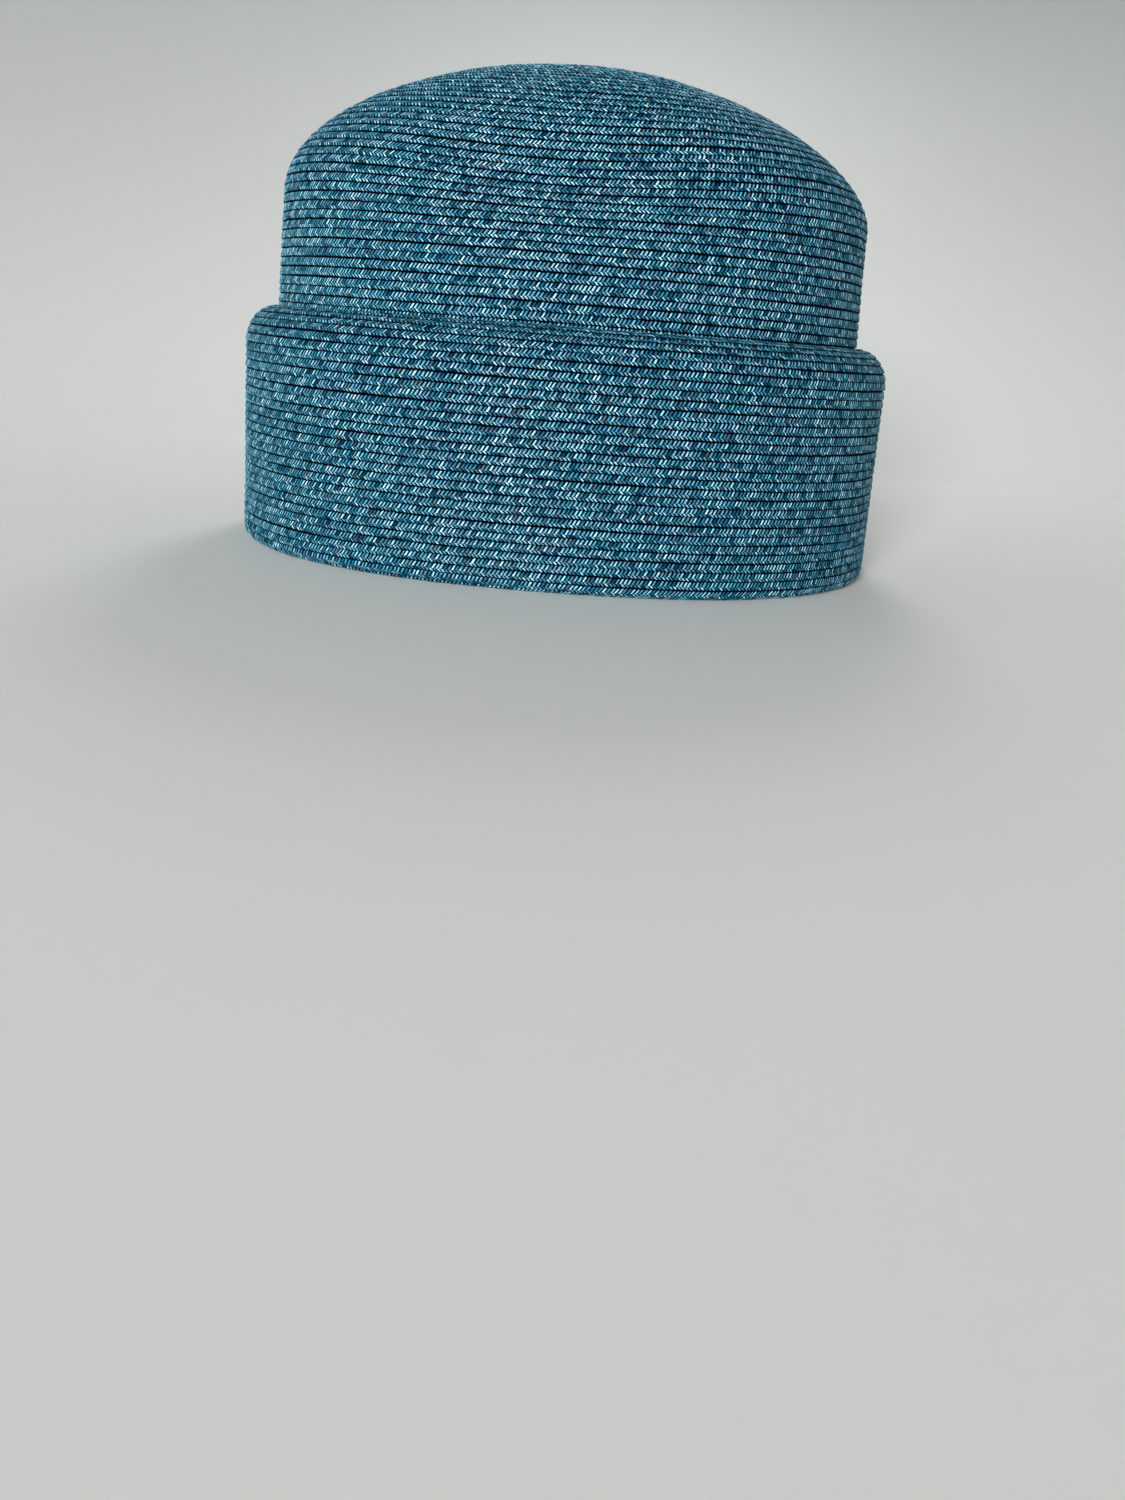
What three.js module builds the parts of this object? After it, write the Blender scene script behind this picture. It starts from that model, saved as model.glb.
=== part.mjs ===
// A brimless straw hat: a tall domed crown inside a deep stand-up cuff, both sewn from narrow plaited
// straw braid. Millimetres, +Z up, the hat's lower edge at Z = 0. The front of the hat faces -X, and
// the wearer's left side faces -Y.
import * as THREE from 'three';

// Driving dimensions
const BRAID_WALL = 2.0; // thickness of the sewn braid
const SEWN_GAP = 0.3; // clearance between the crown and the cuff that is sewn to it
const BACK_WIDENING = 0.035; // how much wider the hat is at the back than halfway, as a share

const CUFF = {
  halfLength: 120, // front to back, halfway up
  halfWidth: 95, // side to side, halfway up
  squareness: 2.26, // 2 is an ellipse, more is squarer
  height: 82.3,
  splay: 0.031, // how far the wall spreads for each millimetre down
  edgeRadius: 4.2, // turned edge at the bottom
  shoulderDrop: 12.5, // height of the rounded shoulder at the top
};

const CROWN = {
  halfLength: 108,
  halfWidth: 84,
  squareness: 2.08,
  height: 165,
  springLine: 121, // height at which the wall turns into the dome
  taper: 0.06, // how far the wall leans in for each millimetre above the cuff
  tipHalfLength: 6, // the short straight start of the braid at the top
  frontFullness: 1.97, // roundness of the dome towards the front, 2 is an ellipse
  backFullness: 1.8, // the same towards the back
  sidewaysFullness: 2.7, // and to the sides
};

// A soft hollow in the dome, over the wearer's left temple
const HOLLOW = {
  centreX: -9,
  centreZ: 133.5,
  spreadX: 60,
  spreadZ: 20,
  inward: 8.5,
  sag: 5,
  sideBlend: 12, // width of the blend between the hollowed side and the plain one
};

// How finely the curved walls are divided
const SEGMENTS_ROUND = 72;
const EDGE_STEPS = 4;
const CUFF_WALL_STEPS = 4;
const SHOULDER_STEPS = 6;
const CROWN_WALL_STEPS = 3;
const SPRING_STEPS = 3;
const DOME_STEPS = 13;
const DOME_LAST_RING = 0.965; // share of the dome's quarter turn at which the last ring lies

const STRAW_TEAL = 0x3b7f9a;

// A point of an oval seen from above. The angle is 0 at the back and a quarter turn on the wearer's right.
function ovalPoint(halfLength, halfWidth, squareness, angle) {
  const cos = Math.cos(angle);
  const sin = Math.sin(angle);
  const x = halfLength * Math.sign(cos) * Math.abs(cos) ** (2 / squareness);
  const y = halfWidth * Math.sign(sin) * Math.abs(sin) ** (2 / squareness);
  return new THREE.Vector2(x, y * (1 + (BACK_WIDENING * x) / CUFF.halfLength));
}

// Pushes a point of the dome in and down where the soft hollow is.
function intoHollow(point) {
  const alongX = (point.x - HOLLOW.centreX) / HOLLOW.spreadX;
  const alongZ = (point.z - HOLLOW.centreZ) / HOLLOW.spreadZ;
  const leftSide = 1 / (1 + Math.exp(point.y / HOLLOW.sideBlend));
  const depth = leftSide * Math.exp(-(alongX ** 2) - alongZ ** 2);
  return new THREE.Vector3(point.x, point.y + HOLLOW.inward * depth, point.z - HOLLOW.sag * depth);
}

// A point of the crown's surface, or of the same surface moved inwards by the given inset.
function crownPoint(angle, z, inset) {
  const top = CROWN.height - inset;
  const rise = Math.min(Math.max((z - CROWN.springLine) / (top - CROWN.springLine), 0), 1);
  const fullness = Math.cos(angle) < 0 ? CROWN.frontFullness : CROWN.backFullness;
  const lengthwise = (1 - rise ** fullness) ** (1 / fullness);
  const sideways = (1 - rise ** CROWN.sidewaysFullness) ** (1 / CROWN.sidewaysFullness);
  const drawnIn = inset + CROWN.taper * Math.max(z - CUFF.height, 0);
  const halfLength = CROWN.tipHalfLength + (CROWN.halfLength - CROWN.tipHalfLength - drawnIn) * lengthwise;
  const halfWidth = (CROWN.halfWidth - drawnIn) * sideways;
  const plan = ovalPoint(halfLength, halfWidth, CROWN.squareness, angle);
  return intoHollow(new THREE.Vector3(plan.x, plan.y, z));
}

// A point of the cuff: from its outer face, it lies part of the way to the crown and then a length further in.
function cuffPoint(angle, shareOfReach, inset, z) {
  const splay = CUFF.splay * (CUFF.height / 2 - z);
  const outer = ovalPoint(CUFF.halfLength + splay, CUFF.halfWidth + splay, CUFF.squareness, angle);
  const besideCrown = ovalPoint(
    CROWN.halfLength + SEWN_GAP, CROWN.halfWidth + SEWN_GAP, CROWN.squareness, angle,
  );
  const reach = besideCrown.clone().sub(outer);
  const plan = outer.addScaledVector(reach, shareOfReach + inset / reach.length());
  return new THREE.Vector3(plan.x, plan.y, z);
}

function ringOfPoints(pointAt) {
  const ring = [];
  for (let i = 0; i < SEGMENTS_ROUND; i += 1) {
    ring.push(pointAt((2 * Math.PI * i) / SEGMENTS_ROUND));
  }
  return ring;
}

// Collects rings and single points, and joins them with triangles.
class Skin {
  constructor() {
    this.positions = [];
    this.triangles = [];
  }

  addPoint(point) {
    this.positions.push(point.x, point.y, point.z);
    return this.positions.length / 3 - 1;
  }

  addRing(ring) {
    return ring.map((point) => this.addPoint(point));
  }

  // Joins two rings. The faces look outwards when the second ring is the higher one of an outer wall.
  joinRings(lower, upper) {
    lower.forEach((a, i) => {
      const next = (i + 1) % lower.length;
      this.triangles.push(a, lower[next], upper[next], a, upper[next], upper[i]);
    });
  }

  // Closes a ring with a tip. The faces look outwards when the tip is on top of an outer wall.
  closeWithTip(ring, tip) {
    ring.forEach((a, i) => this.triangles.push(a, ring[(i + 1) % ring.length], tip));
  }

  closeWithTipInside(ring, tip) {
    ring.forEach((a, i) => this.triangles.push(ring[(i + 1) % ring.length], a, tip));
  }

  toGeometry() {
    const geometry = new THREE.BufferGeometry();
    geometry.setAttribute('position', new THREE.Float32BufferAttribute(this.positions, 3));
    geometry.setIndex(this.triangles);
    geometry.computeVertexNormals();
    return geometry;
  }
}

// Heights of the crown's rings, from its lower edge to just below the tip.
function crownHeights(inset) {
  const foot = BRAID_WALL + SEWN_GAP;
  const domeRise = CROWN.height - inset - CROWN.springLine;
  const heights = [];
  for (let i = 0; i < CROWN_WALL_STEPS; i += 1) {
    heights.push(THREE.MathUtils.lerp(foot, CUFF.height, i / CROWN_WALL_STEPS));
  }
  for (let i = 0; i < SPRING_STEPS; i += 1) {
    heights.push(THREE.MathUtils.lerp(CUFF.height, CROWN.springLine, i / SPRING_STEPS));
  }
  for (let i = 0; i <= DOME_STEPS; i += 1) {
    const turn = (Math.PI / 2) * DOME_LAST_RING * (i / DOME_STEPS);
    heights.push(CROWN.springLine + domeRise * Math.sin(turn));
  }
  return heights;
}

// The crown: an open-bottomed shell, from the head opening up over the dome.
function crownGeometry() {
  const skin = new Skin();
  const addWall = (inset) => crownHeights(inset).map(
    (z) => skin.addRing(ringOfPoints((angle) => crownPoint(angle, z, inset))),
  );
  const outside = addWall(0);
  const inside = addWall(BRAID_WALL);
  for (let i = 1; i < outside.length; i += 1) {
    skin.joinRings(outside[i - 1], outside[i]);
    skin.joinRings(inside[i], inside[i - 1]);
  }
  skin.joinRings(inside[0], outside[0]);
  skin.closeWithTip(outside.at(-1), skin.addPoint(intoHollow(new THREE.Vector3(0, 0, CROWN.height))));
  skin.closeWithTipInside(
    inside.at(-1), skin.addPoint(intoHollow(new THREE.Vector3(0, 0, CROWN.height - BRAID_WALL))),
  );
  return skin.toGeometry();
}

// Outline of the cuff's wall in section: shareOfReach and inset as in cuffPoint, and the height.
function cuffSection() {
  const shoulderFoot = CUFF.height - CUFF.shoulderDrop;
  const underCrown = SEWN_GAP + BRAID_WALL;
  const outside = [{ shareOfReach: 1, inset: underCrown, z: 0 }];
  const inside = [{ shareOfReach: 1, inset: underCrown, z: BRAID_WALL }];
  for (let i = 0; i <= EDGE_STEPS; i += 1) {
    const turn = ((Math.PI / 2) * i) / EDGE_STEPS;
    const innerRadius = CUFF.edgeRadius - BRAID_WALL;
    outside.push({
      shareOfReach: 0,
      inset: CUFF.edgeRadius * (1 - Math.sin(turn)),
      z: CUFF.edgeRadius * (1 - Math.cos(turn)),
    });
    inside.push({
      shareOfReach: 0,
      inset: CUFF.edgeRadius - innerRadius * Math.sin(turn),
      z: CUFF.edgeRadius - innerRadius * Math.cos(turn),
    });
  }
  for (let i = 1; i < CUFF_WALL_STEPS; i += 1) {
    const z = THREE.MathUtils.lerp(CUFF.edgeRadius, shoulderFoot, i / CUFF_WALL_STEPS);
    outside.push({ shareOfReach: 0, inset: 0, z });
    inside.push({ shareOfReach: 0, inset: BRAID_WALL, z });
  }
  for (let i = 0; i <= SHOULDER_STEPS; i += 1) {
    const turn = ((Math.PI / 2) * i) / SHOULDER_STEPS;
    const shareOfReach = 1 - Math.cos(turn);
    outside.push({ shareOfReach, inset: 0, z: shoulderFoot + CUFF.shoulderDrop * Math.sin(turn) });
    inside.push({
      shareOfReach,
      inset: BRAID_WALL * Math.cos(turn),
      z: shoulderFoot + (CUFF.shoulderDrop - BRAID_WALL) * Math.sin(turn),
    });
  }
  return [...outside, ...inside.reverse()];
}

// The cuff: a ring that is flat underneath, stands up and rolls in to the crown at the top.
function cuffGeometry() {
  const skin = new Skin();
  const rings = cuffSection().map(({ shareOfReach, inset, z }) => skin.addRing(
    ringOfPoints((angle) => cuffPoint(angle, shareOfReach, inset, z)),
  ));
  rings.forEach((ring, i) => skin.joinRings(ring, rings[(i + 1) % rings.length]));
  return skin.toGeometry();
}

function strawPiece(name, geometry) {
  const material = new THREE.MeshStandardMaterial({ color: STRAW_TEAL, roughness: 0.55, metalness: 0 });
  const mesh = new THREE.Mesh(geometry, material);
  mesh.name = name;
  return mesh;
}

const hat = new THREE.Group();
hat.name = 'straw_braid_hat';
hat.add(strawPiece('crown', crownGeometry()));
hat.add(strawPiece('cuff', cuffGeometry()));

export default hat;
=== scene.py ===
"""A brimless straw hat: a tall domed crown inside a deep rolled cuff, both sewn row on row from one
narrow plaited straw braid. Metres, +Z up, the front of the hat towards -X and its lower edge at Z = 0."""

import math

import bpy
import numpy as np
from mathutils import Matrix, Vector


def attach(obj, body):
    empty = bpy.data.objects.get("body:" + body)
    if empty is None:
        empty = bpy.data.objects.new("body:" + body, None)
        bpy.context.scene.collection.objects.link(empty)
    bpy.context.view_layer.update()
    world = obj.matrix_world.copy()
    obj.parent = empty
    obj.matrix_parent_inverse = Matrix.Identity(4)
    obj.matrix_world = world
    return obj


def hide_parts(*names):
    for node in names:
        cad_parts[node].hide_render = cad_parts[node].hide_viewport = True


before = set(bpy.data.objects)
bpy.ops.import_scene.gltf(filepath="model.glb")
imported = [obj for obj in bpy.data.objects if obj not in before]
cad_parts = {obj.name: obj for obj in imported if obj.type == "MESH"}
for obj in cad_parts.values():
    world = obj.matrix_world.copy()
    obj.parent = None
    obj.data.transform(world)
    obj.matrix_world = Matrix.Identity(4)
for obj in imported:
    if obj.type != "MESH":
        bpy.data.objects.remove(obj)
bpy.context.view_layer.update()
MM = 0.001


# ---------------------------------------------------------------------------------------------------
# The crown
# A tall dome of dyed straw, sewn in one spiral from a flat plait about 3 mm wide that starts in a short
# straight turn at the top. Each row lies over the one below it. The crown is a little wider behind than
# in front, and it has sunk into a soft hollow over the wearer's left temple.
# ---------------------------------------------------------------------------------------------------
CROWN_HEIGHT = 165 * MM
CROWN_HALF_LENGTH = 108 * MM
CROWN_HALF_WIDTH = 84 * MM
CROWN_SQUARENESS = 2.08  # 2 is an ellipse, more is squarer
CROWN_TAPER = 0.06  # how far the wall leans in for each metre above the cuff
CROWN_TIP = 6 * MM  # half the straight start of the braid
SPRING_LINE = 121 * MM  # where the wall turns into the dome
FRONT_FULLNESS, BACK_FULLNESS, SIDE_FULLNESS = 1.97, 1.8, 2.7  # roundness of the dome
CUFF_HEIGHT = 82.3 * MM
CUFF_HALF_LENGTH = 120 * MM
BACK_WIDENING = 0.035  # how much wider the hat is at the back than halfway, as a share

HOLLOW_CENTRE_X, HOLLOW_CENTRE_Z = -9 * MM, 133.5 * MM
HOLLOW_SPREAD_X, HOLLOW_SPREAD_Z = 60 * MM, 20 * MM
HOLLOW_INWARD, HOLLOW_SAG = 8.5 * MM, 5 * MM
HOLLOW_BLEND = 12 * MM  # width of the blend between the hollowed side and the plain one


def oval(half_length, half_width, squareness, angle):
    """A point of an oval seen from above, as x and y. The angle is 0 at the back."""
    cos, sin = np.cos(angle), np.sin(angle)
    x = half_length * np.sign(cos) * np.abs(cos) ** (2 / squareness)
    y = half_width * np.sign(sin) * np.abs(sin) ** (2 / squareness)
    return x, y * (1 + BACK_WIDENING * x / CUFF_HALF_LENGTH)


def crown_plain(angle, z, inset):
    """The crown before its hollow, or the same surface moved inwards by the inset."""
    top = CROWN_HEIGHT - inset
    rise = np.clip((z - SPRING_LINE) / (top - SPRING_LINE), 0.0, 1.0)
    fullness = np.where(np.cos(angle) < 0, FRONT_FULLNESS, BACK_FULLNESS)
    lengthwise = (1 - rise**fullness) ** (1 / fullness)
    sideways = (1 - rise**SIDE_FULLNESS) ** (1 / SIDE_FULLNESS)
    drawn_in = inset + CROWN_TAPER * np.maximum(z - CUFF_HEIGHT, 0)
    half_length = CROWN_TIP + (CROWN_HALF_LENGTH - CROWN_TIP - drawn_in) * lengthwise
    half_width = (CROWN_HALF_WIDTH - drawn_in) * sideways
    x, y = oval(half_length, half_width, CROWN_SQUARENESS, angle)
    return np.stack([x, y, z + 0 * x], axis=-1)


def crown_rows(inset):
    """The crown's surface by angle and depth down from the tip, and the depth of a height.

    The depth is measured along the wall, as the mean of the front, the back and both sides.
    """
    rise = np.sin(np.linspace(math.pi / 2, 0, 1500))
    heights = SPRING_LINE + (CROWN_HEIGHT - inset - SPRING_LINE) * rise
    heights = np.concatenate([heights, np.linspace(SPRING_LINE, 0, 500)[1:]])
    depth = np.zeros(len(heights))
    for angle in (0.0, math.pi / 2, math.pi, 1.5 * math.pi):
        line = crown_plain(np.full(len(heights), angle), heights, inset)
        depth[1:] += np.cumsum(np.linalg.norm(np.diff(line, axis=0), axis=1)) / 4

    def surface(angle, row_depth):
        point = crown_plain(angle, np.interp(row_depth, depth, heights), inset)
        along_x = (point[:, 0] - HOLLOW_CENTRE_X) / HOLLOW_SPREAD_X
        along_z = (point[:, 2] - HOLLOW_CENTRE_Z) / HOLLOW_SPREAD_Z
        sunk = np.exp(-(along_x**2) - along_z**2) / (1 + np.exp(point[:, 1] / HOLLOW_BLEND))
        return point + np.stack([0 * sunk, HOLLOW_INWARD * sunk, -HOLLOW_SAG * sunk], axis=-1)

    def depth_at(height):
        return float(np.interp(-height, -heights, depth))

    return surface, depth_at


# The braid: its strands cross in a line of arrowheads and turn round at the edges in small loops.
ROW = 2.96 * MM  # from one row to the next
STRAND = 1.34 * MM  # from one strand to the next along the braid
LEVEL_LIFT = 0.25 * MM  # how far a level turn at an end lies over or under its neighbour
BRAID_SUNK = 0.35 * MM  # how far the braid's middle lies under the hat's outer surface
SAMPLES_A_TURN = 400

# The plait in section, in mm: how far down from the row's middle, the height on a strand and in the
# groove between two strands, how far the strand leans along the braid, and which half it belongs to.
PLAIT_SECTION = (
    (-1.68, -0.85, -0.95, 1.05, 0),  # upper edge, tucked under the row above
    (-1.10, 0.00, -0.18, 0.80, 0),
    (0.18, 0.21, 0.03, 0.08, 0),  # where the strands cross
    (0.46, 0.24, 0.06, 0.06, 1),
    (1.20, 0.14, -0.02, 0.80, 1),  # loop that stands over the row below
    (1.46, -0.70, -0.85, 0.98, 1),  # lower edge, down in the crevice
)


def unit(vectors):
    return vectors / np.linalg.norm(vectors, axis=1, keepdims=True)


def braid_spiral(surface, first, last, step, start_turn=0.0, ends=(-math.inf, math.inf)):
    """Middle line of the braid: a turn for each row, from one depth down the surface to another.

    surface(angle, depth) gives points in metres. Past the depths in ends the braid runs level, laid
    over its next turn or under the one before. The result holds, at every step along the braid, its
    place, the directions onward, downward and outward, how many strands are laid so far, and a beat
    of 0 and 1 by turns, which makes strands and grooves.
    """
    rows = (last - first) / ROW
    turns = np.linspace(0.0, rows, int(rows * SAMPLES_A_TURN))

    def at(turn, lower=0.0):
        depth = np.clip(first + turn * ROW, *ends)
        return surface(2 * np.pi * (turn + start_turn), depth + lower)

    laid = np.concatenate([[0.0], np.cumsum(np.linalg.norm(np.diff(at(turns), axis=0), axis=1))])
    turn = np.interp(np.arange(0.0, laid[-1], step), laid, turns)
    onward = unit(at(turn + 0.001) - at(turn - 0.001))
    downward = (at(turn, ROW / 2) - at(turn, -ROW / 2)) / ROW
    outward = unit(np.cross(downward, onward))
    depth = first + turn * ROW
    lifted = (np.clip(depth, *ends) - depth) / ROW * LEVEL_LIFT
    return {
        "place": at(turn) + outward * lifted[:, None],
        "onward": onward,
        "downward": downward,
        "outward": outward,
        "strand": np.arange(len(turn)) * step / STRAND,
        "beat": np.arange(len(turn)) % 2,
    }


def stretches(spiral, names, heights):
    """Part a spiral where the braid has come down to the heights, and give each part its name.

    The step where two parts meet belongs to both, and has an even beat.
    """
    z = spiral["place"][:, 2]
    breaks = [0, *(int(np.argmax(z < height)) // 2 * 2 for height in heights), len(z) - 1]
    for name, start, end in zip(names, breaks, breaks[1:]):
        yield name, {key: values[start:end + 1] for key, values in spiral.items()}


class Value:
    """A socket in a node tree. Arithmetic on it adds Math nodes, or Vector Math nodes on vectors."""

    def __init__(self, socket):
        self.socket = socket

    @classmethod
    def node(cls, tree, kind, settings=None, inputs=None, output=0):
        """One node: its settings come first, then the values and links of its sockets."""
        new = tree.nodes.new(kind)
        for name, setting in (settings or {}).items():
            if name == "stops":
                while len(new.color_ramp.elements) < len(setting):
                    new.color_ramp.elements.new(1.0)
                for element, (place, colour) in zip(new.color_ramp.elements, setting):
                    element.position, element.color = place, (*colour, 1.0)
            else:
                setattr(new, name, setting)
        for name, value in (inputs or {}).items():
            if isinstance(value, cls):
                tree.links.new(value.socket, new.inputs[name])
            else:
                new.inputs[name].default_value = value
        return cls(new.outputs[output])

    def feed(self, socket):
        self.socket.id_data.links.new(self.socket, socket)

    def _math(self, operation, first, second):
        tree = self.socket.id_data
        vectors = [isinstance(v, Value) and v.socket.type == "VECTOR" for v in (first, second)]
        if operation == "MULTIPLY" and any(vectors) and not all(vectors):
            vector, scale = (first, second) if vectors[0] else (second, first)
            return Value.node(
                tree, "ShaderNodeVectorMath", {"operation": "SCALE"}, {0: vector, "Scale": scale},
            )
        kind = "ShaderNodeVectorMath" if any(vectors) else "ShaderNodeMath"
        return Value.node(tree, kind, {"operation": operation}, {0: first, 1: second})

    def __add__(self, other):
        return self._math("ADD", self, other)

    def __radd__(self, other):
        return self._math("ADD", other, self)

    def __sub__(self, other):
        return self._math("SUBTRACT", self, other)

    def __rsub__(self, other):
        return self._math("SUBTRACT", other, self)

    def __mul__(self, other):
        return self._math("MULTIPLY", self, other)

    def __rmul__(self, other):
        return self._math("MULTIPLY", other, self)

    def __pow__(self, other):
        return self._math("POWER", self, other)

    def __gt__(self, other):
        return self._math("GREATER_THAN", self, other)

    def __lt__(self, other):
        return self._math("LESS_THAN", self, other)

    def apply(self, operation, other=0.0):
        """A Math operation that has no sign of its own, such as FRACT or MAXIMUM."""
        return self._math(operation, self, other)


def plait_tree():
    """Geometry Nodes that sweep the plait's section along the spiral and raise every strand."""
    tree = bpy.data.node_groups.new("lay_the_braid", "GeometryNodeTree")
    for name, kind in (
        ("Spiral", "NodeSocketGeometry"),
        ("Section", "NodeSocketObject"),
        ("Strand grooves", "NodeSocketFloat"),
        ("Uneven strands", "NodeSocketFloat"),
        ("Wander", "NodeSocketFloat"),
        ("Lap wander", "NodeSocketFloat"),
        ("Straw", "NodeSocketMaterial"),
    ):
        tree.interface.new_socket(name, in_out="INPUT", socket_type=kind)
    tree.interface.new_socket("Braid", in_out="OUTPUT", socket_type="NodeSocketGeometry")
    given = tree.nodes.new("NodeGroupInput")

    def node(kind, settings=None, inputs=None, output=0):
        return Value.node(tree, kind, settings, inputs, output)

    def carried(name, kind="FLOAT"):
        return node("GeometryNodeInputNamedAttribute", {"data_type": kind}, {"Name": name})

    def given_value(name):
        return Value(given.outputs[name])

    section = node("GeometryNodeObjectInfo", {}, {"Object": given_value("Section")}, "Geometry")
    swept = node("GeometryNodeCurveToMesh", {}, {
        "Curve": node("GeometryNodeMeshToCurve", {}, {"Mesh": given_value("Spiral")}),
        "Profile Curve": node("GeometryNodeMeshToCurve", {}, {"Mesh": section}),
        "Fill Caps": True,
    })

    # A groove lies half a strand further on in the lower half of the braid than in the upper one.
    # The lower half's strands are numbered from far off, so that each lies uneven in its own way.
    half, strand = carried("half"), carried("strand")
    groove = (carried("beat") - half).apply("ABSOLUTE") * given_value("Strand grooves")
    lower_half_numbers = 100003.0
    number = (strand + half * 0.5).apply("ROUND") + half * lower_half_numbers

    def unevenness(seed):
        return node("FunctionNodeRandomValue", {"data_type": "FLOAT"}, {
            "Min": -1.0, "Max": 1.0, "ID": number, "Seed": seed,
        }, 1) * given_value("Uneven strands")

    place = carried("place", "FLOAT_VECTOR")
    wander = node("ShaderNodeTexNoise", {"noise_dimensions": "3D"}, {
        "Vector": place, "Scale": 45.0, "Detail": 1.0,
    }) - 0.5
    lap = node("ShaderNodeTexNoise", {"noise_dimensions": "1D"}, {
        "W": strand * 0.012, "Scale": 1.0, "Detail": 2.0,
    }) - 0.5
    proud, sunk = carried("proud"), carried("sunk")
    height = proud + (sunk - proud) * groove + unevenness(7) + wander * given_value("Wander")
    leaning = carried("lean") + unevenness(8) * 1.6
    lowered = carried("down") + unevenness(9) * 1.2 + lap * given_value("Lap wander")
    moved = (
        place
        + carried("onward", "FLOAT_VECTOR") * leaning
        + carried("downward", "FLOAT_VECTOR") * lowered
        + carried("outward", "FLOAT_VECTOR") * height
    )
    shaped = node("GeometryNodeSetPosition", {}, {"Geometry": swept, "Position": moved})

    # An edge down in a groove stays sharp, and the strands' backs are smooth.
    in_groove = node("GeometryNodeFieldOnDomain", {"domain": "POINT", "data_type": "FLOAT"}, {0: groove})
    rounded = node("GeometryNodeSetShadeSmooth", {"domain": "EDGE"}, {
        "Geometry": shaped, "Shade Smooth": in_groove < 0.9,
    })
    finished = node("GeometryNodeSetMaterial", {}, {
        "Geometry": node("GeometryNodeRealizeInstances", {}, {"Geometry": rounded}),
        "Material": given_value("Straw"),
    })
    result = tree.nodes.new("NodeGroupOutput")
    finished.feed(result.inputs["Braid"])
    return tree


PLAIT_TREE = plait_tree()


def attribute_mesh(name, points, edges, attributes):
    """A mesh of points and edges that carries attributes, as an object."""
    mesh = bpy.data.meshes.new(name)
    mesh.from_pydata(points, edges, [])
    for key, values in attributes.items():
        values = np.asarray(values, dtype=np.float32)
        vectors = values.ndim == 2
        layer = mesh.attributes.new(key, "FLOAT_VECTOR" if vectors else "FLOAT", "POINT")
        layer.data.foreach_set("vector" if vectors else "value", values.ravel())
    made = bpy.data.objects.new(name, mesh)
    bpy.context.scene.collection.objects.link(made)
    return made


def lay_braid(name, spiral, section, straw, grooves=1.0):
    """Plait one stretch of the spiral and return it as a plain closed mesh object."""
    down, proud, sunk, lean, half = np.array(section).T
    corners, steps = len(section), len(spiral["place"])
    section_piece = attribute_mesh(
        "plait_section",
        np.stack([down, proud, 0 * down], axis=-1) * MM,
        [(i, (i + 1) % corners) for i in range(corners)],
        {
            "down": down * MM,
            "proud": proud * MM,
            "sunk": sunk * MM,
            "lean": lean * MM,
            "half": half,
            "across": (down - down[0]) / (down[-1] - down[0]),
        },
    )
    line = attribute_mesh(
        name + "_line", spiral["place"], [(i, i + 1) for i in range(steps - 1)], spiral,
    )
    laying = line.modifiers.new("lay_the_braid", "NODES")
    laying.node_group = PLAIT_TREE
    wanted = {
        "Section": section_piece,
        "Strand grooves": grooves,
        "Uneven strands": 0.08 * MM,
        "Wander": 0.5 * MM,
        "Lap wander": 0.8 * MM,
        "Straw": straw,
    }
    for item in PLAIT_TREE.interface.items_tree:
        if item.in_out == "INPUT" and item.name in wanted:
            laying[item.identifier] = wanted[item.name]
    graph = bpy.context.evaluated_depsgraph_get()
    mesh = bpy.data.meshes.new_from_object(line.evaluated_get(graph), depsgraph=graph)
    mesh.name = name
    for spare in ("place", "onward", "downward", "outward", "beat", "half", "down", "proud", "sunk", "lean"):
        if spare in mesh.attributes:
            mesh.attributes.remove(mesh.attributes[spare])
    for helper in (line, section_piece):
        helper_mesh = helper.data
        bpy.data.objects.remove(helper)
        bpy.data.meshes.remove(helper_mesh)
    piece = bpy.data.objects.new(name, mesh)
    bpy.context.scene.collection.objects.link(piece)
    return piece


STRANDS_CROSS = 0.64  # where the strands cross, as a share of the way down across the braid


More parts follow.
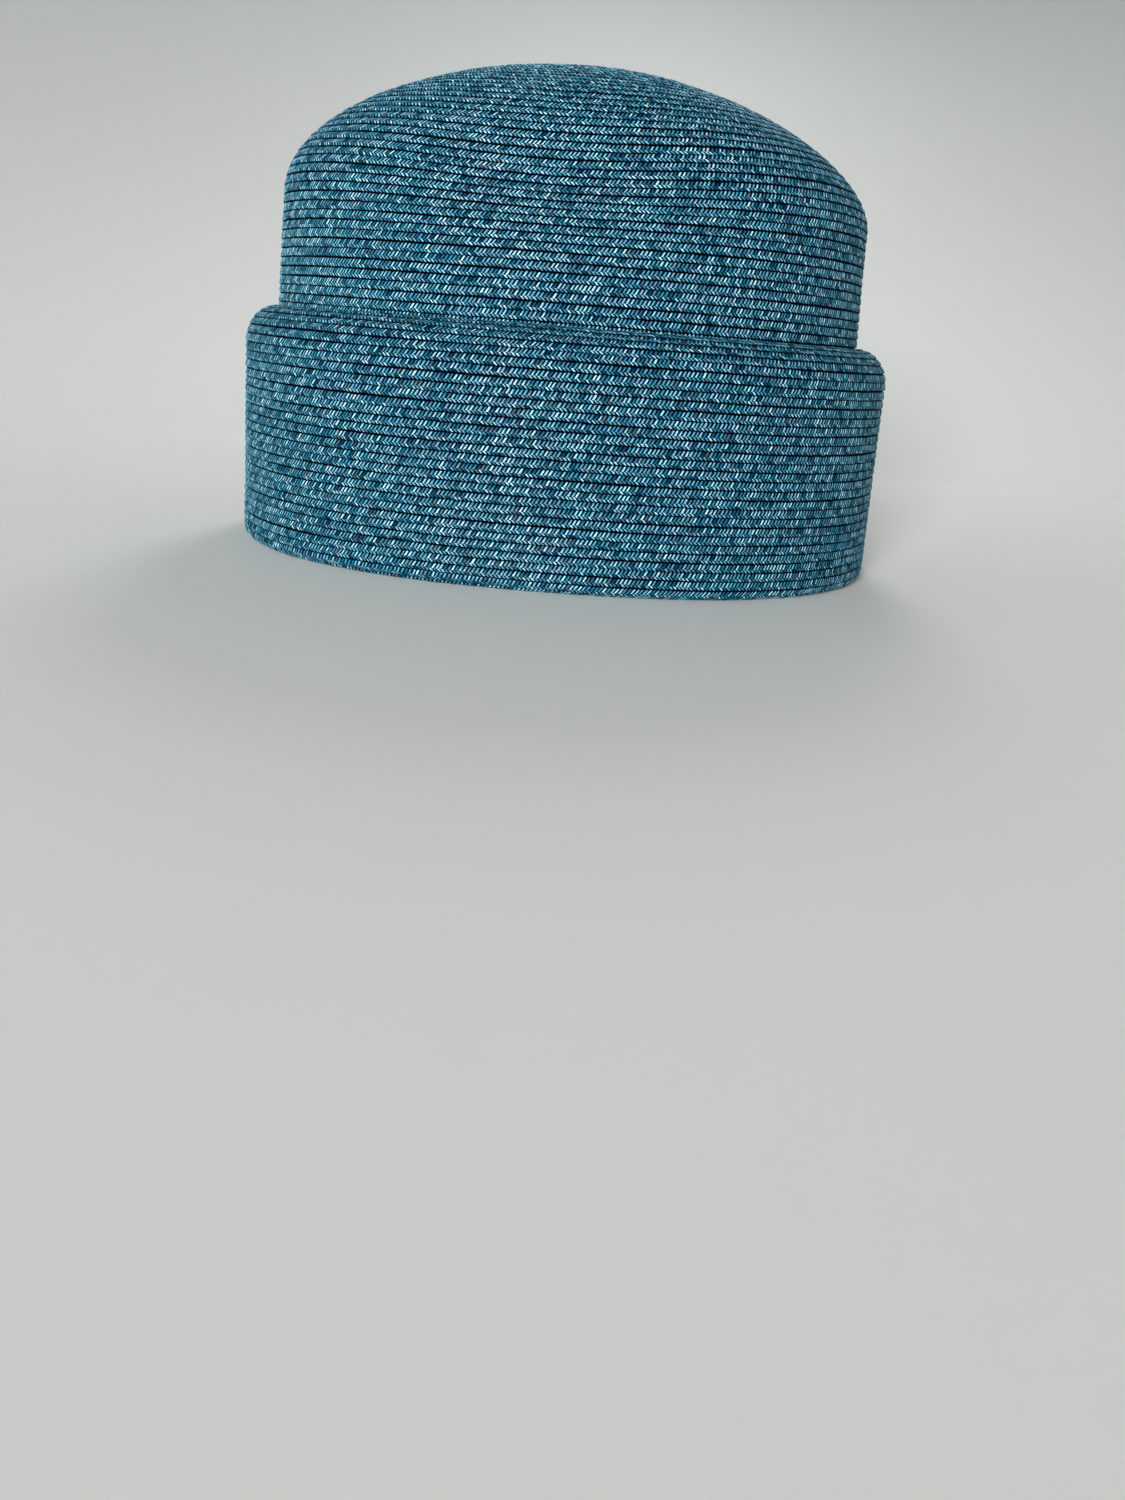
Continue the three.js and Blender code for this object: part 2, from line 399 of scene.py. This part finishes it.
def straw_finish(name, lighter=0.0):
    """Dyed straw: each strand has its own shade and a gloss, a painted crest highlight and painted groove
    shade.
    """
    material = bpy.data.materials.new(name)
    material.use_nodes = True
    tree = material.node_tree
    tree.nodes.clear()

    def node(kind, settings=None, inputs=None, output=0):
        return Value.node(tree, kind, settings, inputs, output)

    def carried(name):
        return node("ShaderNodeAttribute", {"attribute_name": name}, {}, "Fac")

    def mix(factor, first, second):
        return node("ShaderNodeMix", {"data_type": "RGBA"}, {0: factor, 6: first, 7: second}, 2)

    def smooth(value, start, end):
        return node("ShaderNodeMapRange", {"interpolation_type": "SMOOTHSTEP"}, {
            0: value, 1: start, 2: end,
        })

    def chance(value):
        return node("ShaderNodeTexWhiteNoise", {"noise_dimensions": "1D"}, {"W": value})

    # Which strand a point is on, how far to the side of its back, and how far along it.
    strand, across = carried("strand"), carried("across")
    lower = across > STRANDS_CROSS
    shifted = strand + 0.5 - lower * 0.5
    number = shifted.apply("FLOOR") + lower * 0.5
    beside = (shifted.apply("FRACT") - 0.5) * 2.0  # -1 and 1 in the grooves, 0 on the strand's back
    square = beside * beside
    upper_share = across * (1 / STRANDS_CROSS)
    lower_share = (1.0 - across) * (1 / (1 - STRANDS_CROSS))
    along = upper_share + (lower_share - upper_share) * lower  # 0 at the edge, 1 where strands cross

    # The back falls off at the strand's sides, at the braid's edge loop and where it goes under: the bump
    # sinks there and painted shade darkens the colour.
    round_end = square * 0.14
    edge_loop = smooth(along - round_end, 0.10, 0.27)
    goes_under = smooth(along + round_end, 1.12, 0.94)
    back = smooth(1.0 - square, 0.38, 1.0) * edge_loop * goes_under

    # Fibres run along the strand. Its crest gets a painted highlight, broken up by the fibres.
    fibre_place = node("ShaderNodeCombineXYZ", {}, {0: beside * 2.2, 1: along * 0.5, 2: number * 3.7})
    fibre = node("ShaderNodeTexNoise", {}, {"Vector": fibre_place, "Scale": 1.6, "Detail": 2.0})
    crest_highlight = smooth(1.0 - square, 0.5, 1.0) * back * smooth(fibre, 0.25, 0.55)

    # The dye took unevenly, strand by strand and in patches along the row. The grooves are painted nearly
    # black as shade, and the crests are painted pale as a highlight.
    patch = node("ShaderNodeTexNoise", {"noise_dimensions": "1D"}, {
        "W": strand * 0.4, "Scale": 1.0, "Detail": 2.0,
    })
    level = chance(number) * 0.62 + patch * 0.5 - 0.055
    gloss = chance(number + 0.25)
    # Painted shade in the grooves and crevices and a painted highlight on the crest go into the base colour
    # here.
    tone = back * (level * 0.655 + lighter - 0.035) + crest_highlight * (gloss * 0.615 + 0.115)
    colour = node("ShaderNodeValToRGB", {"stops": (
        (0.0, (0.000, 0.003, 0.012)),
        (0.25, (0.000, 0.046, 0.092)),
        (0.5, (0.012, 0.188, 0.298)),
        (0.75, (0.130, 0.460, 0.640)),
        (1.0, (0.580, 0.920, 1.000)),
    )}, {"Fac": tone})
    hue = chance(number + 0.6)
    for start, end, cast in (
        (0.7, 1.0, (0.62, 0.78, 0.62, 1.0)),  # some strands' painted highlights are greener
        (0.3, 0.0, (0.55, 0.62, 0.85, 1.0)),  # and some bluer
    ):
        colour = mix(crest_highlight * smooth(hue, start, end) * 0.18, colour, cast)

    edge_on = node("ShaderNodeLayerWeight", {}, {"Blend": 0.5}, "Facing")  # the gloss fades edge-on
    bump = node("ShaderNodeBump", {}, {
        "Strength": 0.6, "Distance": 0.2 * MM, "Height": back + fibre * 0.6,
    })
    surface = node("ShaderNodeBsdfPrincipled", {}, {
        "Base Color": colour,
        "Roughness": 0.45 + fibre * 0.2,
        "Specular IOR Level": 0.08,
        "Specular Tint": (0.20, 0.75, 1.0, 1.0),
        "Coat Weight": crest_highlight * (gloss * 0.65 + 0.15) * (1.0 - edge_on),
        "Coat Roughness": 0.36,
        "Coat IOR": 1.65,
        "Normal": bump,
    })
    output = tree.nodes.new("ShaderNodeOutputMaterial")
    surface.feed(output.inputs["Surface"])
    return material


crown_surface, crown_depth = crown_rows(BRAID_SUNK)
crown_straw = straw_finish("crown_straw", lighter=0.03)

# One line between rows is set at its height over the cuff on the wearer's left. The rows are counted
# back from it to the tip, so the braid starts some turns and part of a turn before the back.
LEFT_SIDE = 0.75  # turns from the back to the wearer's left side
CROWN_LINE_HEIGHT = 85.8 * MM
TIP_DEPTH = 0.2 * MM  # the braid's start lies this far from the middle of the tip
CROWN_BRAID_FOOT = 77 * MM  # the outer braid ends just inside the cuff's rolled top

line_depth = crown_depth(CROWN_LINE_HEIGHT)
rows_to_line = round((line_depth - ROW / 2) / ROW)
first_row = line_depth - ROW * (rows_to_line - 0.5 + LEFT_SIDE)
turns_before = (first_row - TIP_DEPTH) / ROW
crown_line = braid_spiral(
    crown_surface, TIP_DEPTH, crown_depth(CROWN_BRAID_FOOT), STRAND / 2, start_turn=-turns_before,
)

CROWN_PIECES = ("crown_tip_braid", "crown_dome_braid", "crown_wall_braid")
for name, stretch in stretches(crown_line, CROWN_PIECES, (143 * MM, 112 * MM)):
    piece = lay_braid(name, stretch, PLAIT_SECTION, crown_straw)
    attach(piece, "root")
    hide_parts("crown")


# ---------------------------------------------------------------------------------------------------
# The cuff
# A deep band of the same braid that stands up round the crown and spreads a little towards its foot.
# It turns in at the foot to the head opening, and at the top it rolls in and is sewn to the crown.
# ---------------------------------------------------------------------------------------------------
CUFF_HALF_WIDTH = 95 * MM
CUFF_SQUARENESS = 2.26
CUFF_SPLAY = 0.031  # how far the wall spreads for each metre down
EDGE_RADIUS = 4.2 * MM  # turned edge at the foot
SHOULDER_DROP = 12.5 * MM  # height of the rounded shoulder at the top
BRAID_WALL = 2.0 * MM
SEWN_GAP = 0.3 * MM
CUFF_LINE_HEIGHT = 66.12 * MM  # one line between rows, on the wearer's left


def cuff_point(angle, share_of_reach, inset, z):
    """From the cuff's outer face, a point part of the way to the crown and then a length further in."""
    splay = CUFF_SPLAY * (CUFF_HEIGHT / 2 - z)
    outer = np.stack(
        oval(CUFF_HALF_LENGTH + splay, CUFF_HALF_WIDTH + splay, CUFF_SQUARENESS, angle), axis=-1,
    )
    beside_crown = np.stack(
        oval(CROWN_HALF_LENGTH + SEWN_GAP, CROWN_HALF_WIDTH + SEWN_GAP, CROWN_SQUARENESS, angle),
        axis=-1,
    )
    reach = beside_crown - outer
    share = share_of_reach + inset / np.linalg.norm(reach, axis=-1)
    plan = outer + reach * share[:, None]
    return np.concatenate([plan, (z + 0 * share)[:, None]], axis=-1)


def cuff_rows(sunk):
    """The cuff's surface by angle and depth, the depth of a height on its face, and the last depth.

    The depth starts beside the crown and is measured over the shoulder, down the face, round the
    turned edge and in under the hat, as the mean of eight places round it.
    """
    shoulder_foot = CUFF_HEIGHT - SHOULDER_DROP
    shoulder = np.linspace(math.pi / 2, 0, 60)
    face = np.linspace(shoulder_foot, EDGE_RADIUS, 60)[1:]
    edge = np.linspace(math.pi / 2, 0, 40)[1:]
    under = np.linspace(0, 1, 40)[1:]
    section = (  # share of the reach to the crown, inset and height
        (
            1 - np.cos(shoulder),
            sunk * np.cos(shoulder),
            shoulder_foot + (SHOULDER_DROP - sunk) * np.sin(shoulder),
        ),
        (0 * face, 0 * face + sunk, face),
        (
            0 * edge,
            EDGE_RADIUS - (EDGE_RADIUS - sunk) * np.sin(edge),
            EDGE_RADIUS - (EDGE_RADIUS - sunk) * np.cos(edge),
        ),
        (under, EDGE_RADIUS + (SEWN_GAP + BRAID_WALL - EDGE_RADIUS) * under, 0 * under + sunk),
    )
    share, inset, z = (np.concatenate(column) for column in zip(*section))
    depth = np.zeros(len(z))
    for angle in np.arange(8) * math.pi / 4 + 0.2:
        line = cuff_point(np.full(len(z), angle), share, inset, z)
        depth[1:] += np.cumsum(np.linalg.norm(np.diff(line, axis=0), axis=1)) / 8

    def surface(angle, row_depth):
        return cuff_point(angle, *(np.interp(row_depth, depth, column) for column in (share, inset, z)))

    def depth_at(height):
        on_face = (share == 0) & (z >= EDGE_RADIUS)
        return float(np.interp(-height, -z[on_face], depth[on_face]))

    return surface, depth_at, depth[-1]


cuff_surface, cuff_depth, cuff_end = cuff_rows(BRAID_SUNK)
cuff_straw = straw_finish("cuff_straw")
cuff_first_row = (cuff_depth(CUFF_LINE_HEIGHT) + ROW * (0.5 - LEFT_SIDE)) % ROW
cuff_ends = (0.35 * ROW, cuff_end - 0.45 * ROW)  # the braid's middle in its first and last turn
cuff_line = braid_spiral(
    cuff_surface, cuff_first_row - ROW, cuff_ends[1] + ROW, STRAND / 2, ends=cuff_ends,
)

CUFF_PIECES = ("cuff_shoulder_braid", "cuff_face_braid", "cuff_foot_braid")
for name, stretch in stretches(cuff_line, CUFF_PIECES, (54 * MM, 26 * MM)):
    piece = lay_braid(name, stretch, PLAIT_SECTION, cuff_straw)
    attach(piece, "root")
    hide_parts("cuff")


# ---------------------------------------------------------------------------------------------------
# The inside of the crown
# There is no lining, so the back of the sewn braid shows from below. It is flatter than the outside,
# and it runs from the tip down to the cuff's turned edge.
# ---------------------------------------------------------------------------------------------------
BACK_SECTION = (  # in the same columns as the plait's section, from the lower edge up
    (1.62, -0.42, -0.42, 0.9, 1),
    (0.60, 0.02, 0.02, 0.2, 1),
    (-1.10, 0.10, 0.10, 0.8, 0),
    (-1.50, -0.30, -0.30, 1.0, 0),
)
BACK_SUNK = 0.3 * MM  # how far the braid's middle lies behind the inner surface
BACK_STEP = 4 * MM
INSIDE_FOOT = 1.75 * MM

inner_surface, inner_depth = crown_rows(BRAID_WALL - BACK_SUNK)
foot_depth = inner_depth(INSIDE_FOOT)
inside_line = braid_spiral(
    inner_surface, TIP_DEPTH, foot_depth + ROW, BACK_STEP, ends=(0.0, foot_depth),
)
inside_line["outward"] = -inside_line["outward"]
piece = lay_braid("crown_inside_braid", inside_line, BACK_SECTION, crown_straw, grooves=0.0)
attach(piece, "root")
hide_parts("crown")


# ---------------------------------------------------------------------------------------------------
# The studio
# Pale paper lies as a floor and runs up in a round sweep to a wall behind the hat, darker with height.
# One broad soft light stands high in front of the hat, and a small one lights the wall side.
# ---------------------------------------------------------------------------------------------------
WALL_RADIUS, WALL_HEIGHT, WALL_CENTRE_Y = 2.6, 2.6, -1.45
WALL_TURN = math.radians(105)  # how far the wall reaches round to each side
SWEEP_RADIUS = 0.8  # where the floor turns up into the wall
FLOOR_REACH = 6.0
FLOOR_PAPER = (0.94, 0.945, 0.91, 1.0)
WALL_PAPER = (0.375, 0.395, 0.395, 1.0)

sweep_start = WALL_RADIUS - SWEEP_RADIUS
wall_profile = [(sweep_start, 0.0)] + [
    (sweep_start + SWEEP_RADIUS * math.sin(rise), SWEEP_RADIUS * (1 - math.cos(rise)))
    for rise in np.linspace(0.05, math.pi / 2, 32)
] + [(WALL_RADIUS, WALL_HEIGHT)]
wall_turns = np.linspace(-WALL_TURN, WALL_TURN, 85)
wall_points = [
    (out * math.sin(turn), WALL_CENTRE_Y + out * math.cos(turn), z)
    for out, z in wall_profile for turn in wall_turns
]
wide = len(wall_turns)
faces = [
    (i * wide + j, i * wide + j + 1, (i + 1) * wide + j + 1, (i + 1) * wide + j)
    for i in range(len(wall_profile) - 1) for j in range(wide - 1)
]
floor_points = [
    *wall_points[:wide], (FLOOR_REACH, -FLOOR_REACH, 0.0), (-FLOOR_REACH, -FLOOR_REACH, 0.0),
]
faces.append(range(len(wall_points), len(wall_points) + len(floor_points)))
backdrop_mesh = bpy.data.meshes.new("backdrop")
backdrop_mesh.from_pydata(wall_points + floor_points, [], faces)
backdrop_mesh.shade_smooth()
backdrop_mesh.polygons[len(faces) - 1].use_smooth = False  # the floor is flat to its edge
backdrop = bpy.data.objects.new("backdrop", backdrop_mesh)
bpy.context.scene.collection.objects.link(backdrop)

paper = bpy.data.materials.new("backdrop_paper")
paper.use_nodes = True
paper_surface = paper.node_tree.nodes["Principled BSDF"]
place = Value.node(paper.node_tree, "ShaderNodeTexCoord", {}, {}, "Object")
up_the_wall = Value.node(paper.node_tree, "ShaderNodeSeparateXYZ", {}, {0: place}, "Z") * 2.0
up_the_wall = up_the_wall.apply("MAXIMUM", 0.0).apply("MINIMUM", 1.0) ** 0.4
Value.node(paper.node_tree, "ShaderNodeMix", {"data_type": "RGBA"}, {
    0: up_the_wall, 6: FLOOR_PAPER, 7: WALL_PAPER,
}, 2).feed(paper_surface.inputs["Base Color"])
paper_surface.inputs["Roughness"].default_value = 0.8
backdrop_mesh.materials.append(paper)

LIT_POINT = Vector((0, 0, 0.08))  # the middle of the hat


def soft_light(name, place, size, watts, colour):
    """A round soft light at a place, turned to the hat."""
    data = bpy.data.lights.new(name, "AREA")
    data.shape, data.size, data.energy, data.color = "DISK", size, watts, colour
    light = bpy.data.objects.new(name, data)
    bpy.context.scene.collection.objects.link(light)
    turned = (LIT_POINT - Vector(place)).to_track_quat("-Z", "Y").to_matrix().to_4x4()
    light.matrix_world = Matrix.Translation(place) @ turned


soft_light("window_light", (-1.05, -3.22, 0.80), 0.9, 132, (1.0, 0.99, 0.97))
soft_light("back_light", (0.1, 0.85, 0.8), 0.35, 3.0, (1.0, 1.0, 1.0))

world = bpy.data.worlds.new("room_light")
world.use_nodes = True
room = world.node_tree
direction = Value.node(room, "ShaderNodeTexCoord", {}, {}, "Generated")
upward = Value.node(room, "ShaderNodeSeparateXYZ", {}, {0: direction}, "Z")
Value.node(room, "ShaderNodeValToRGB", {"stops": (
    (0.0, (0.24, 0.25, 0.25)),
    (0.35, (0.20, 0.21, 0.22)),
    (0.75, (0.05, 0.06, 0.07)),
)}, {"Fac": upward}).feed(room.nodes["Background"].inputs["Color"])
bpy.context.scene.world = world

CAMERA_PLACE = (-5.62 * MM, -457.19 * MM, 80.46 * MM)
LOOKS_DOWN, TURNED, ROLLED = math.radians(20.317), math.radians(-1.793), math.radians(3.661)
lens = bpy.data.cameras.new("camera")
lens.sensor_width = 36.0
lens.lens = 27.048
lens.clip_start = 10 * MM
camera = bpy.data.objects.new("camera", lens)
camera.matrix_world = (
    Matrix.Translation(CAMERA_PLACE)
    @ Matrix.Rotation(math.pi / 2 - LOOKS_DOWN, 4, "X")
    @ Matrix.Rotation(TURNED, 4, "Y")
    @ Matrix.Rotation(ROLLED, 4, "Z")
)
bpy.context.scene.collection.objects.link(camera)
bpy.context.scene.camera = camera
bpy.context.scene.view_settings.view_transform = "Standard"
